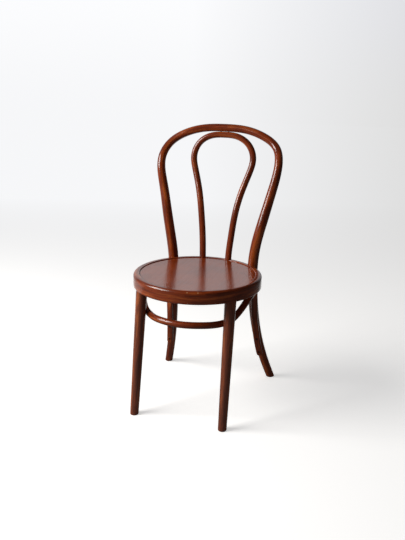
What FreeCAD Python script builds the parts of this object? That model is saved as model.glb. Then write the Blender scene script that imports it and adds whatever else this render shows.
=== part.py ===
import FreeCAD, Part
import math
import os

# Bentwood bistro chair. A round seat stands on two turned front legs and on the ends of a
# long bent rod, the back bow, whose top arch frames a smaller inner bow. A bent brace runs
# under the seat from rear leg to rear leg, behind the front legs.
# Sizes are millimetres, +Z is up, and the front of the chair faces -Y. Places are measured
# from the seat's centre on the floor. The last section moves the chair to its own origin.

Vec = FreeCAD.Vector
UP = Vec(0, 0, 1)

# Seat
SEAT_DIAMETER = 404.0
SEAT_HEIGHT = 436.3
RIM_WIDTH = 34.0
RIM_HEIGHT = 41.0
RIM_TOP_OUTER_ROUND = 9.0
RIM_TOP_INNER_ROUND = 2.5
RIM_BOTTOM_ROUND = 4.0
PANEL_LEDGE = 14.0
PANEL_THICKNESS = 6.0
PANEL_DROP = 2.5
PANEL_EDGE_ROUND = 1.5
PANEL_DISH = 3.0
PANEL_CLEARANCE = 0.3

# Front legs
FRONT_LEG_ANGLE = 51.6
FRONT_LEG_INSET = 20.4
FRONT_LEG_TOP_DIAMETER = 35.5
FRONT_LEG_FOOT_DIAMETER = 26.5
FRONT_LEG_SPLAY_OUT = 3.0
FRONT_LEG_SPLAY_FORWARD = 59.8
FRONT_TENON_DIAMETER = 20.0
FRONT_TENON_LENGTH = 24.0
FOOT_CHAMFER = 1.5

# Back bow: its ends are the rear legs
REAR_LEG_ANGLE = 42.8
REAR_LEG_OUTSET = 4.5
REAR_LEG_SPLAY_OUT = 54.8
REAR_LEG_SPLAY_BACK = 102.0
REAR_LEG_CURVE_OUT = 2.4
REAR_LEG_CURVE_BACK = 1.8
REAR_LEG_SEAT_DIAMETER = 34.0
REAR_LEG_FOOT_DIAMETER = 27.0
REAR_NOTCH_DEPTH = 5.0
NOTCH_CLEARANCE = 0.2
# Height above the seat, half width, distance behind the seat's centre, rod diameter
BACK_BOW_UPRIGHT = [
    (69.0, 148.5, 150.1, 33.0),
    (149.0, 165.9, 160.5, 32.0),
    (239.0, 186.6, 176.9, 29.5),
    (328.0, 200.1, 196.3, 26.5),
    (377.0, 181.3, 229.8, 25.4),
    (410.7, 128.5, 244.0, 25.2),
    (425.4, 75.3, 253.7, 25.1),
]
BACK_BOW_RISE = 429.9
BACK_BOW_CROWN_BACK = 258.9
BACK_BOW_CROWN_DIAMETER = 25.0

# Inner bow
INNER_BOW_FOOT_HALF = 45.5
INNER_BOW_FOOT_INSET = 12.0
INNER_BOW_FOOT_DIAMETER = 21.8
# Height above the seat, half width, distance behind the seat's centre, rod diameter
INNER_BOW_UPRIGHT = [
    (69.0, 49.8, 192.7, 21.8),
    (149.0, 58.9, 202.3, 21.6),
    (229.0, 75.7, 222.0, 21.5),
    (289.0, 94.7, 238.5, 21.3),
    (334.4, 102.9, 246.6, 21.2),
    (377.7, 85.3, 251.6, 20.9),
    (402.6, 44.8, 255.2, 20.6),
]
INNER_BOW_CROWN_BACK = 257.3
INNER_BOW_CROWN_DIAMETER = 20.5
CROWN_CLEARANCE = 0.3
INNER_TENON_DIAMETER = 14.0
INNER_TENON_LENGTH = 20.0
COPE_DEPTH = 14.0
COPE_CLEARANCE = 0.2

# Leg brace: drops are measured down from the rim's underside
BRACE_DROP = 75.0
BRACE_FRONT_BULGE = 3.8
BRACE_SIDE_BULGE = 2.0
BRACE_BAR_DIAMETER = 18.4
BRACE_STRIP_WIDTH = 22.0
BRACE_STRIP_THICKNESS = 9.5
BRACE_STRIP_END_ANGLE = -4.0
BRACE_STRIP_TOP_ANGLE = 30.0
BRACE_STRIP_END = 100.0
BRACE_STRIP_TOP_DROP = 44.0
BRACE_APEX_THICKNESS = 11.3
BRACE_PLANED = 0.8
BRACE_APEX_ANGLE = 36.0
BRACE_APEX_RADIUS = 181.0
BRACE_LEAVE_ANGLE = 2.0
BRACE_LEAVE_RADIUS = 180.0
BRACE_RUN_SHARES = (0.33, 0.67, 1.0)
BRACE_RAIL_SHARES = (0.2, 0.4, 0.6, 0.8)
BRACE_LEG_GAP = 0.7
BRACE_CLEARANCE = 0.3
BRACE_STRIP_CLEARANCE = 0.6

# Fasteners
BOLT_DIAMETER = 6.0
BOLT_HEAD_DIAMETER = 16.0
BOLT_HEAD_HEIGHT = 3.6
BOLT_HEAD_SPOT_DEPTH = 2.4
BOLT_PROUD = 2.5
WASHER_DIAMETER = 18.0
WASHER_THICKNESS = 1.6
NUT_ACROSS_FLATS = 10.0
NUT_HEIGHT = 5.0
NUT_SPOT_DEPTH = 2.0
SCREW_DIAMETER = 4.0
SCREW_HEAD_DIAMETER = 8.0
SCREW_HEAD_HEIGHT = 2.6
SCREW_SLOT_WIDTH = 1.1
SCREW_SLOT_DEPTH = 1.2
SCREW_SINK = 0.4
BRACE_SCREW_LENGTH = 30.0
BRACE_SCREW_HEIGHTS = (116.0, 169.0)
FOOT_SCREW_LENGTH = 48.0
CROWN_SCREW_LENGTH = 34.0
CROWN_SCREW_HALF_SPACING = 13.0
CURVED_SINK = 1.1
HOLE_MOUTH = 3.0
CURVED_HOLE_MOUTH = 4.0
FIT_CLEARANCE = 0.15
SHAFT_CLEARANCE = 0.1

# Largest distance between the sections that shape each bent rod
BACK_BOW_SECTION_SPACING = 44.0
INNER_BOW_SECTION_SPACING = 31.0
BRACE_SECTION_SPACING = 20.0

# How closely the chair's outer box is measured
BOX_TOLERANCE = 0.1

seat_radius = SEAT_DIAMETER / 2
rim_inner_radius = seat_radius - RIM_WIDTH
rim_bottom = SEAT_HEIGHT - RIM_HEIGHT
panel_radius = rim_inner_radius + PANEL_LEDGE
panel_top = SEAT_HEIGHT - PANEL_DROP
panel_bottom = panel_top - PANEL_THICKNESS
brace_height = rim_bottom - BRACE_DROP
brace_strip_top = rim_bottom - BRACE_STRIP_TOP_DROP
brace_apex_height = rim_bottom + BRACE_PLANED - BRACE_CLEARANCE - BRACE_APEX_THICKNESS / 2
rear_axis_radius = seat_radius + REAR_LEG_OUTSET
notch_plane_radius = seat_radius - REAR_NOTCH_DEPTH


# Small helpers for places and directions

def flat_direction(angle, forward=False):
    """Unit vector in plan, turned from +Y (or from -Y when forward) towards +X."""
    turn = math.radians(angle)
    depth = -math.cos(turn) if forward else math.cos(turn)
    return Vec(math.sin(turn), depth, 0)


def mirror_point(point):
    return Vec(-point.x, point.y, point.z)


def mirror_x(shape):
    return shape.mirror(Vec(0, 0, 0), Vec(1, 0, 0))


def both_sides(shape):
    """The right-hand piece and its mirror image on the left, as one group."""
    return Part.makeCompound([shape, mirror_x(shape)])


def unit(vector):
    return vector * (1.0 / vector.Length)


def interpolate(pairs, value):
    """Straight-line value from (position, number) pairs in rising order."""
    for (low, first), (high, second) in zip(pairs, pairs[1:]):
        if value <= high:
            share = (value - low) / (high - low)
            return first + (second - first) * share
    return pairs[-1][1]


# Bent rods: a smooth route through points, with oval sections set square to it

def smooth_curve(points):
    curve = Part.BSplineCurve()
    curve.interpolate(points)
    return curve


def sections_along(route, spacing, side_of):
    """Even sections of a rod, one at its middle. Each route point is a place and its sizes."""
    points = [item[0] for item in route]
    curve = smooth_curve(points)
    start = curve.FirstParameter
    along = [curve.length(start, curve.parameter(point)) for point in points]
    intervals = 2 * math.ceil(along[-1] / (2 * spacing))
    sections = []
    for number in range(intervals + 1):
        here = along[-1] * number / intervals
        parameter = curve.parameterAtDistance(here, start)
        centre = curve.value(parameter)
        tangent = unit(curve.tangent(parameter)[0])
        side = side_of(centre)
        across = unit(side - tangent * side.dot(tangent))
        sizes = [interpolate(list(zip(along, [item[spot] for item in route])), here)
                 for spot in (1, 2, 3)]
        sections.append((here, centre, across, tangent.cross(across), sizes))
    return sections


def pulled_curve(points, places):
    """Poles, knots and multiplicities of a cubic curve that meets each point at its place."""
    curve = Part.BSplineCurve()
    curve.interpolate(Points=points, Parameters=places)
    return curve.getPoles(), curve.getKnots(), curve.getMultiplicities()


def skin(sections):
    """A solid through oval sections: four smooth strips and a flat face at each end.

    An oval's four corner points pull on it with a weight: 0.707 gives an ellipse, and a
    larger weight a fuller, squarer shape.
    """
    places = [section[0] for section in sections]
    spots = [(1, 0), (1, 1), (0, 1), (-1, 1), (-1, 0), (-1, -1), (0, -1), (1, -1)]
    columns = []
    for across_share, along_share in spots:
        corner = across_share * along_share != 0
        pulled = []
        pulls = []
        for place, centre, across, along, (width, thickness, weight) in sections:
            point = (
                centre
                + across * (across_share * width / 2)
                + along * (along_share * thickness / 2))
            pull = weight if corner else 1.0
            pulled.append(point * pull)
            pulls.append(Vec(pull, place, 0))
        poles, knots, repeats = pulled_curve(pulled, places)
        weights = [pole.x for pole in pulled_curve(pulls, places)[0]]
        columns.append(([pole * (1 / pull) for pole, pull in zip(poles, weights)], weights))
    faces = []
    for quarter in range(4):
        three = [columns[(2 * quarter + step) % 8] for step in range(3)]
        surface = Part.BSplineSurface()
        surface.buildFromPolesMultsKnots(
            [list(row) for row in zip(*[poles for poles, _ in three])],
            repeats, [3, 3], knots, [0.0, 1.0], False, False, 3, 2,
            [list(row) for row in zip(*[weights for _, weights in three])])
        faces.append(surface.toShape())
    for _, centre, _, _, (width, thickness, _) in (sections[0], sections[-1]):
        reach = width + thickness
        rims = [
            edge for face in faces[:4] for edge in face.Edges
            if all((vertex.Point - centre).Length < reach for vertex in edge.Vertexes)]
        faces.append(Part.Face(Part.Wire(Part.__sortEdges__(rims))))
    shell = Part.makeShell(faces)
    shell.sewShape()
    solid = Part.Solid(shell.Shells[0] if shell.ShapeType != "Shell" else shell)
    if solid.Volume < 0:
        solid.reverse()
    return solid


ROUND = math.sqrt(0.5)
FLAT = 2.2


def round_route(route, growth=0.0):
    """Turn (place, diameter) pairs into the places and oval sizes of a round rod."""
    return [(point, size + 2 * growth, size + 2 * growth, ROUND) for point, size in route]


def cylinder(radius, length, start, direction):
    return Part.makeCylinder(radius, length, start, direction)


def slab(low, high):
    """A block far wider than the chair, between two heights."""
    reach = 4 * SEAT_DIAMETER
    return Part.makeBox(reach, reach, high - low, Vec(-reach / 2, -reach / 2, low))


def above_floor(shape):
    return shape.cut(slab(-SEAT_HEIGHT, 0))


# Fasteners, each drawn along its own axis

def screw(length):
    """Slotted countersunk screw: head at the origin, shank along +Z, pointed tip."""
    head_radius = SCREW_HEAD_DIAMETER / 2
    shank_radius = SCREW_DIAMETER / 2
    tip = SCREW_DIAMETER
    profile = Part.makePolygon([
        Vec(0, 0, 0),
        Vec(head_radius, 0, 0),
        Vec(shank_radius, 0, SCREW_HEAD_HEIGHT),
        Vec(shank_radius, 0, length - tip),
        Vec(0, 0, length),
        Vec(0, 0, 0),
    ])
    body = Part.Face(profile).revolve(Vec(0, 0, 0), UP, 360)
    slot = Part.makeBox(
        2 * SCREW_HEAD_DIAMETER, SCREW_SLOT_WIDTH, SCREW_SLOT_DEPTH,
        Vec(-SCREW_HEAD_DIAMETER, -SCREW_SLOT_WIDTH / 2, 0))
    return body.cut(slot)


def screw_hole(length, mouth):
    """The clear hole that a screw sits in, with a sunk mouth open to the surface."""
    head_radius = SCREW_HEAD_DIAMETER / 2 + SHAFT_CLEARANCE
    shank_radius = SCREW_DIAMETER / 2 + SHAFT_CLEARANCE
    profile = Part.makePolygon([
        Vec(0, 0, -mouth),
        Vec(head_radius, 0, -mouth),
        Vec(head_radius, 0, SHAFT_CLEARANCE),
        Vec(shank_radius, 0, SCREW_HEAD_HEIGHT + SHAFT_CLEARANCE),
        Vec(shank_radius, 0, length + SHAFT_CLEARANCE),
        Vec(0, 0, length + SHAFT_CLEARANCE),
        Vec(0, 0, -mouth),
    ])
    return Part.Face(profile).revolve(Vec(0, 0, 0), UP, 360)


def aimed(shape, start, direction):
    """Move a shape drawn along +Z to a start point and a direction."""
    moved = shape.copy()
    moved.Placement = FreeCAD.Placement(start, FreeCAD.Rotation(UP, direction))
    return moved


# Seat rim: a bent square rod, rounded over outside, with a ledge for the panel

def rim_section(growth=0.0):
    outer = seat_radius + growth
    inner = rim_inner_radius - growth
    top = SEAT_HEIGHT + growth
    bottom = rim_bottom - growth
    big = RIM_TOP_OUTER_ROUND + growth
    small = RIM_BOTTOM_ROUND + growth
    slope = math.sqrt(0.5)
    edges = [
        Part.LineSegment(Vec(inner, 0, bottom), Vec(outer - small, 0, bottom)),
        Part.Arc(
            Vec(outer - small, 0, bottom),
            Vec(outer - small + small * slope, 0, bottom + small - small * slope),
            Vec(outer, 0, bottom + small)),
        Part.LineSegment(Vec(outer, 0, bottom + small), Vec(outer, 0, top - big)),
        Part.Arc(
            Vec(outer, 0, top - big),
            Vec(outer - big + big * slope, 0, top - big + big * slope),
            Vec(outer - big, 0, top)),
        Part.LineSegment(Vec(outer - big, 0, top), Vec(inner, 0, top)),
        Part.LineSegment(Vec(inner, 0, top), Vec(inner, 0, bottom)),
    ]
    return Part.Face(Part.Wire([edge.toShape() for edge in edges]))


def plain_rim(growth=0.0):
    return rim_section(growth).revolve(Vec(0, 0, 0), UP, 360)


def panel_recess():
    """The ledge's space: straight walls under a rounded inner top edge."""
    radius = panel_radius + PANEL_CLEARANCE
    turn = RIM_TOP_INNER_ROUND
    slope = math.sqrt(0.5)
    edges = [
        Part.LineSegment(Vec(0, 0, panel_bottom), Vec(radius, 0, panel_bottom)),
        Part.LineSegment(Vec(radius, 0, panel_bottom), Vec(radius, 0, SEAT_HEIGHT - turn)),
        Part.Arc(
            Vec(radius, 0, SEAT_HEIGHT - turn),
            Vec(radius + turn - turn * slope, 0, SEAT_HEIGHT - turn + turn * slope),
            Vec(radius + turn, 0, SEAT_HEIGHT)),
        Part.LineSegment(Vec(radius + turn, 0, SEAT_HEIGHT), Vec(radius + turn, 0, SEAT_HEIGHT + 1)),
        Part.LineSegment(Vec(radius + turn, 0, SEAT_HEIGHT + 1), Vec(0, 0, SEAT_HEIGHT + 1)),
        Part.LineSegment(Vec(0, 0, SEAT_HEIGHT + 1), Vec(0, 0, panel_bottom)),
    ]
    face = Part.Face(Part.Wire([edge.toShape() for edge in edges]))
    return face.revolve(Vec(0, 0, 0), UP, 360)


# Seat panel: a thin round board with a slight dish and an eased edge

def bowl_middle(reach, low):
    """Middle of the arc that falls from a given reach to the axis, level at the axis."""
    radius = (reach ** 2 + PANEL_DISH ** 2) / (2 * PANEL_DISH)
    half_angle = math.asin(reach / radius) / 2
    return Vec(radius * math.sin(half_angle), 0, low + radius * (1 - math.cos(half_angle)))


def seat_panel():
    edge = PANEL_EDGE_ROUND
    reach = panel_radius - edge
    slope = math.sqrt(0.5)
    shoulder = Vec(reach, 0, panel_top)
    low = Vec(0, 0, panel_top - PANEL_DISH)
    under_edge = Vec(rim_inner_radius - PANEL_CLEARANCE, 0, panel_bottom)
    under_low = Vec(0, 0, panel_bottom - PANEL_DISH)
    edges = [
        Part.Arc(low, bowl_middle(shoulder.x, low.z), shoulder),
        Part.Arc(
            shoulder,
            Vec(reach + edge * slope, 0, panel_top - edge + edge * slope),
            Vec(panel_radius, 0, panel_top - edge)),
        Part.LineSegment(Vec(panel_radius, 0, panel_top - edge), Vec(panel_radius, 0, panel_bottom)),
        Part.LineSegment(Vec(panel_radius, 0, panel_bottom), under_edge),
        Part.Arc(under_edge, bowl_middle(under_edge.x, under_low.z), under_low),
        Part.LineSegment(under_low, low),
    ]
    face = Part.Face(Part.Wire([line.toShape() for line in edges]))
    return face.revolve(Vec(0, 0, 0), UP, 360)


# Front legs: straight turned tapers with a round tenon in line with the leg

front_leg_outward = flat_direction(FRONT_LEG_ANGLE, forward=True)
front_leg_top = front_leg_outward * (seat_radius - FRONT_LEG_INSET) + UP * rim_bottom
front_leg_foot = Vec(
    front_leg_top.x + FRONT_LEG_SPLAY_OUT,
    front_leg_top.y - FRONT_LEG_SPLAY_FORWARD,
    0)
front_leg_axis = unit(front_leg_top - front_leg_foot)


def front_leg_centre(height):
    return front_leg_foot + (front_leg_top - front_leg_foot) * (height / rim_bottom)


def front_leg_radius(height):
    share = height / rim_bottom
    radius = FRONT_LEG_FOOT_DIAMETER + (FRONT_LEG_TOP_DIAMETER - FRONT_LEG_FOOT_DIAMETER) * share
    return radius / 2


def front_leg():
    spare = FRONT_LEG_TOP_DIAMETER / 2
    low, high = -spare, rim_bottom + spare
    start = front_leg_centre(low)
    length = (front_leg_centre(high) - start).Length
    taper = Part.makeCone(
        front_leg_radius(low), front_leg_radius(high), length, start, front_leg_axis)
    stem = taper.common(slab(0, rim_bottom))
    foot_edges = [edge for edge in stem.Edges if edge.BoundBox.ZMax < FOOT_CHAMFER]
    stem = stem.makeChamfer(FOOT_CHAMFER, foot_edges)
    root = front_leg_top - front_leg_axis * spare
    tenon = cylinder(
        FRONT_TENON_DIAMETER / 2, FRONT_TENON_LENGTH + spare, root, front_leg_axis)
    return stem.fuse(tenon).removeSplitter()


def front_mortise():
    root = front_leg_top - front_leg_axis * FRONT_TENON_DIAMETER
    length = FRONT_TENON_DIAMETER + FRONT_TENON_LENGTH + 2 * FIT_CLEARANCE
    return cylinder(FRONT_TENON_DIAMETER / 2 + FIT_CLEARANCE, length, root, front_leg_axis)


# Back bow: rear leg, upright, top arch, upright and rear leg in one bent rod

rear_leg_outward = flat_direction(REAR_LEG_ANGLE)
rear_leg_seat = rear_leg_outward * rear_axis_radius + UP * SEAT_HEIGHT


def rear_leg_centre(height):
    """Axis of the right rear leg below the seat: it curves out and back to the floor."""
    drop = (SEAT_HEIGHT - height) / SEAT_HEIGHT
    return Vec(
        rear_leg_seat.x + REAR_LEG_SPLAY_OUT * drop ** REAR_LEG_CURVE_OUT,
        rear_leg_seat.y + REAR_LEG_SPLAY_BACK * drop ** REAR_LEG_CURVE_BACK,
        height)


def rear_leg_run(height):
    """Upward direction of the leg's axis."""
    return unit(rear_leg_centre(height + 1) - rear_leg_centre(height - 1))


def rear_leg_diameter(height):
    share = height / SEAT_HEIGHT
    return REAR_LEG_FOOT_DIAMETER + (REAR_LEG_SEAT_DIAMETER - REAR_LEG_FOOT_DIAMETER) * share


def back_bow_route():
    """Points from the right foot up to the crown, with the rod's diameter at each."""
    spare = -REAR_LEG_FOOT_DIAMETER / 2
    heights = [spare] + [SEAT_HEIGHT * step / 5 for step in range(1, 6)]
    route = [(rear_leg_centre(height), rear_leg_diameter(height)) for height in heights]
    for rise, half, back, diameter in BACK_BOW_UPRIGHT:
        route.append((Vec(half, back, SEAT_HEIGHT + rise), diameter))
    crown = Vec(0, BACK_BOW_CROWN_BACK, SEAT_HEIGHT + BACK_BOW_RISE)
    return route, (crown, BACK_BOW_CROWN_DIAMETER)


def whole_route(half, crown):
    """A half route and its crown, carried on down the other side."""
    other = [(mirror_point(item[0]),) + item[1:] for item in reversed(half)]
    return half + [crown] + other


def forward_side(centre):
    return Vec(0, -1, 0)


def back_bow_rod(growth=0.0):
    route = round_route(whole_route(*back_bow_route()), growth)
    return above_floor(skin(sections_along(route, BACK_BOW_SECTION_SPACING, forward_side)))


def notch_block(low, high, inner, outer):
    """An upright block across the right rear leg, between two distances from the centre."""
    width = 2 * REAR_LEG_SEAT_DIAMETER
    block = Part.makeBox(outer - inner, width, high - low, Vec(inner, -width / 2, low))
    return block.rotate(Vec(0, 0, 0), UP, 90 - REAR_LEG_ANGLE)


def leg_housing():
    """What is cut from the leg so that its flat seats on the rim's flat."""
    block = notch_block(
        rim_bottom - NOTCH_CLEARANCE, SEAT_HEIGHT + NOTCH_CLEARANCE,
        rim_inner_radius, notch_plane_radius)
    return [block, mirror_x(block)]


def rim_notch(rod):
    """What is cut from the rim: the leg's own round, beyond the flat."""
    block = notch_block(rim_bottom - 1, SEAT_HEIGHT + 1, notch_plane_radius, seat_radius + 1)
    right = rod.common(block)
    return [right, mirror_x(right)]


# Inner bow: its feet are coped over the rim and tenoned into it

inner_foot_radius = seat_radius - INNER_BOW_FOOT_INSET
inner_foot = Vec(
    INNER_BOW_FOOT_HALF,
    math.sqrt(inner_foot_radius ** 2 - INNER_BOW_FOOT_HALF ** 2),
    SEAT_HEIGHT)
inner_crown = Vec(
    0,
    INNER_BOW_CROWN_BACK,
    SEAT_HEIGHT + BACK_BOW_RISE - CROWN_CLEARANCE
    - (BACK_BOW_CROWN_DIAMETER + INNER_BOW_CROWN_DIAMETER) / 2)


def inner_bow_rod():
    below = inner_foot - UP * COPE_DEPTH
    half = [(below, INNER_BOW_FOOT_DIAMETER), (inner_foot, INNER_BOW_FOOT_DIAMETER)]
    for rise, half_width, back, diameter in INNER_BOW_UPRIGHT:
        half.append((Vec(half_width, back, SEAT_HEIGHT + rise), diameter))
    route = round_route(whole_route(half, (inner_crown, INNER_BOW_CROWN_DIAMETER)))
    return skin(sections_along(route, INNER_BOW_SECTION_SPACING, forward_side))


def inner_tenon(growth=0.0):
    start = inner_foot - UP * (INNER_TENON_LENGTH + growth)
    length = INNER_TENON_LENGTH + growth + COPE_DEPTH
    return cylinder(INNER_TENON_DIAMETER / 2 + growth, length, start, UP)


# Leg brace: flat tongues on the rear legs, a round bar behind the front legs

def strip_facing(height):
    """Way the tongue's broad face looks: it turns a little on its way up the leg."""
    share = (height - BRACE_STRIP_END) / (brace_strip_top - BRACE_STRIP_END)
    turn = BRACE_STRIP_END_ANGLE + (BRACE_STRIP_TOP_ANGLE - BRACE_STRIP_END_ANGLE) * share
    return flat_direction(turn, forward=True)


def strip_side(height):
    facing = strip_facing(height)
    return Vec(-facing.y, facing.x, 0)


def strip_centre(height):
    facing = strip_facing(height)
    reach = rear_leg_diameter(height) / 2 + BRACE_STRIP_THICKNESS / 2 + BRACE_STRIP_CLEARANCE
    lean = facing.dot(rear_leg_run(height))
    return rear_leg_centre(height) + facing * (reach / math.sqrt(1 - lean ** 2))


def brace_contact():
    """Where the bar passes the inner side of the right front leg."""
    leg = front_leg_centre(brace_height)
    leg_radius = front_leg_radius(brace_height)
    inward = unit(Vec(-leg.x, -leg.y, 0))
    return leg + inward * (leg_radius + BRACE_BAR_DIAMETER / 2 + BRACE_LEG_GAP), inward


def plan_polar(point):
    """Distance from the seat's axis, and the turn from +X towards +Y."""
    return math.hypot(point.x, point.y), math.atan2(point.y, point.x)


def polar_place(radius, turn, height):
    return Vec(radius * math.cos(turn), radius * math.sin(turn), height)


def brace_apex():
    """Where the brace is screwed up to the rim, ahead of the rear leg."""
    return polar_place(BRACE_APEX_RADIUS, math.radians(BRACE_APEX_ANGLE), brace_apex_height)


def brace_run(share):
    """A place under the rim, from the apex (0) to where the brace leaves the rim (1)."""
    radius = BRACE_APEX_RADIUS + (BRACE_LEAVE_RADIUS - BRACE_APEX_RADIUS) * share
    turn = BRACE_APEX_ANGLE + (BRACE_LEAVE_ANGLE - BRACE_APEX_ANGLE) * share
    return polar_place(radius, math.radians(turn), brace_apex_height)


def brace_rail(share):
    """A section of the side rail, from the rim (0) forward and down to the bar (1)."""
    near, near_turn = plan_polar(brace_contact()[0])
    far_turn = math.radians(BRACE_LEAVE_ANGLE)
    left = 1 - share
    radius = near + (BRACE_LEAVE_RADIUS - near) * left + BRACE_SIDE_BULGE * 4 * share * left
    fall = left ** 2 * (3 - 2 * left)
    height = brace_height + (brace_apex_height - brace_height) * fall
    bar = BRACE_BAR_DIAMETER
    width = bar + (BRACE_STRIP_WIDTH - bar) * left
    thickness = bar + (BRACE_APEX_THICKNESS - bar) * left
    fullness = ROUND + (FLAT - ROUND) * left ** 3
    place = polar_place(radius, far_turn + (near_turn - far_turn) * share, height)
    return place, width, thickness, fullness


def brace_route():
    """Points from the right tongue's end to the front, with each section's two sizes."""
    bar = BRACE_BAR_DIAMETER
    strip = (BRACE_STRIP_WIDTH, BRACE_STRIP_THICKNESS, FLAT)
    step = (brace_strip_top - BRACE_STRIP_END) / 8
    heights = [BRACE_STRIP_END + step * number for number in range(9)]
    route = [(strip_centre(height),) + strip for height in heights]
    top = strip_centre(brace_strip_top)
    apex = brace_apex()
    for turn in (30, 60):
        forward = 1 - math.cos(math.radians(turn))
        rise = math.sin(math.radians(turn))
        bend = Vec(
            top.x + (apex.x - top.x) * forward,
            top.y + (apex.y - top.y) * forward,
            top.z + (apex.z - top.z) * rise)
        route.append((bend,) + strip)
    flat_run = (BRACE_STRIP_WIDTH, BRACE_APEX_THICKNESS, FLAT)
    route.append((apex,) + flat_run)
    route += [(brace_run(share),) + flat_run for share in BRACE_RUN_SHARES]
    route += [brace_rail(share) for share in BRACE_RAIL_SHARES]
    contact = brace_contact()[0]
    reach, turn = plan_polar(contact)
    front_reach = reach + BRACE_FRONT_BULGE
    quarter = (turn - math.pi / 2) / 2
    between = polar_place(reach + BRACE_FRONT_BULGE * 3 / 4, quarter, brace_height)
    route.append((contact, bar, bar, ROUND))
    route.append((between, bar, bar, ROUND))
    return route, (Vec(0, -front_reach, brace_height), bar, bar, ROUND)


def brace_side(centre):
    """Width direction of the brace: flat on the leg behind, outward from the centre ahead."""
    outward = unit(Vec(centre.x, centre.y, 0))
    if centre.y < brace_apex().y:
        return outward
    side = strip_side(centre.z)
    return Vec(math.copysign(side.x, centre.x), side.y, 0)


def tongue_trim():
    """The two corners cut off the right tongue's lower end, which leave it round."""
    radius = BRACE_STRIP_WIDTH / 2
    tip = strip_centre(BRACE_STRIP_END)
    rise = unit(strip_centre(BRACE_STRIP_END + radius) - tip)
    middle = tip + rise * radius
    side = strip_side(BRACE_STRIP_END)
    across = unit(side - rise * side.dot(rise))
    through = rise.cross(across)
    depth = 3 * BRACE_STRIP_THICKNESS
    corner = tip - rise - across * (radius + 1) - through * (depth / 2)
    outline = Part.makePolygon([
        corner,
        corner + across * (2 * radius + 2),
        corner + across * (2 * radius + 2) + rise * (radius + 1),
        corner + rise * (radius + 1),
        corner,
    ])
    block = Part.Face(outline).extrude(through * depth)
    return block.cut(cylinder(radius, depth, middle - through * (depth / 2), through))


def brace_rod():
    rod = skin(sections_along(whole_route(*brace_route()), BRACE_SECTION_SPACING, brace_side))
    trim = tongue_trim()
    planed = slab(rim_bottom - BRACE_CLEARANCE, SEAT_HEIGHT)
    return rod.cut([trim, mirror_x(trim), planed])


# Assembly of the wooden pieces and their fasteners

nodes = {}

rim = plain_rim().cut(panel_recess())
bow = back_bow_rod()
grown_bow = back_bow_rod(NOTCH_CLEARANCE)
inner = inner_bow_rod()
brace = brace_rod()

rim = rim.cut([front_mortise(), mirror_x(front_mortise())])
rim = rim.cut(rim_notch(grown_bow))
bow = bow.cut(leg_housing())

# The inner bow's feet follow the rim's rounded top and the panel
coping = plain_rim(COPE_CLEARANCE)
panel = seat_panel()
panel_clear = cylinder(rim_inner_radius, COPE_DEPTH + 2, Vec(0, 0, panel_bottom - 2), UP)
inner = inner.cut([coping, panel_clear])
inner = max(inner.Solids, key=lambda solid: solid.Volume)
tenons = [inner_tenon(), mirror_x(inner_tenon())]
tenon_holes = [inner_tenon(FIT_CLEARANCE), mirror_x(inner_tenon(FIT_CLEARANCE))]
inner = inner.fuse(tenons)
rim = rim.cut(tenon_holes)

# Carriage bolts through the rear legs and the rim, with washers and nuts inside
bolt_height = rim_bottom + RIM_HEIGHT / 2
bolt_leg_centre = rear_leg_centre(bolt_height)
bolt_seat_radius = Vec(bolt_leg_centre.x, bolt_leg_centre.y, 0).Length
bolt_head_radius = bolt_seat_radius + rear_leg_diameter(bolt_height) / 2 - BOLT_HEAD_SPOT_DEPTH
nut_seat_radius = rim_inner_radius + NUT_SPOT_DEPTH
bolt_outward = unit(Vec(bolt_leg_centre.x, bolt_leg_centre.y, 0))
bolt_inward = bolt_outward * -1
bolt_start = bolt_outward * bolt_head_radius + UP * bolt_height
nut_start = bolt_outward * nut_seat_radius + UP * bolt_height
bolt_length = (
    bolt_head_radius - nut_seat_radius + WASHER_THICKNESS + NUT_HEIGHT + BOLT_PROUD)


def carriage_bolt():
    """Domed head below the origin, shank along +Z."""
    head_radius = BOLT_HEAD_DIAMETER / 2
    rise = BOLT_HEAD_HEIGHT
    sphere_radius = (head_radius ** 2 + rise ** 2) / (2 * rise)
    half_angle = math.asin(head_radius / sphere_radius) / 2
    middle = Vec(
        sphere_radius * math.sin(half_angle), 0,
        sphere_radius - rise - sphere_radius * math.cos(half_angle))
    shank_radius = BOLT_DIAMETER / 2
    edges = [
        Part.Arc(Vec(0, 0, -rise), middle, Vec(head_radius, 0, 0)),
        Part.LineSegment(Vec(head_radius, 0, 0), Vec(shank_radius, 0, 0)),
        Part.LineSegment(Vec(shank_radius, 0, 0), Vec(shank_radius, 0, bolt_length)),
        Part.LineSegment(Vec(shank_radius, 0, bolt_length), Vec(0, 0, bolt_length)),
        Part.LineSegment(Vec(0, 0, bolt_length), Vec(0, 0, -rise)),
    ]
    face = Part.Face(Part.Wire([edge.toShape() for edge in edges]))
    return face.revolve(Vec(0, 0, 0), UP, 360)


def washer():
    hole = cylinder(BOLT_DIAMETER / 2 + SHAFT_CLEARANCE, WASHER_THICKNESS, Vec(0, 0, 0), UP)
    return cylinder(WASHER_DIAMETER / 2, WASHER_THICKNESS, Vec(0, 0, 0), UP).cut(hole)


def hexagon_nut():
    corner = NUT_ACROSS_FLATS / math.sqrt(3)
    turns = [math.radians(60 * number) for number in range(7)]
    outline = [Vec(corner * math.cos(turn), corner * math.sin(turn), 0) for turn in turns]
    body = Part.Face(Part.makePolygon(outline)).extrude(UP * NUT_HEIGHT)
    hole = cylinder(BOLT_DIAMETER / 2 + SHAFT_CLEARANCE, NUT_HEIGHT, Vec(0, 0, 0), UP)
    return body.cut(hole)


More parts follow.
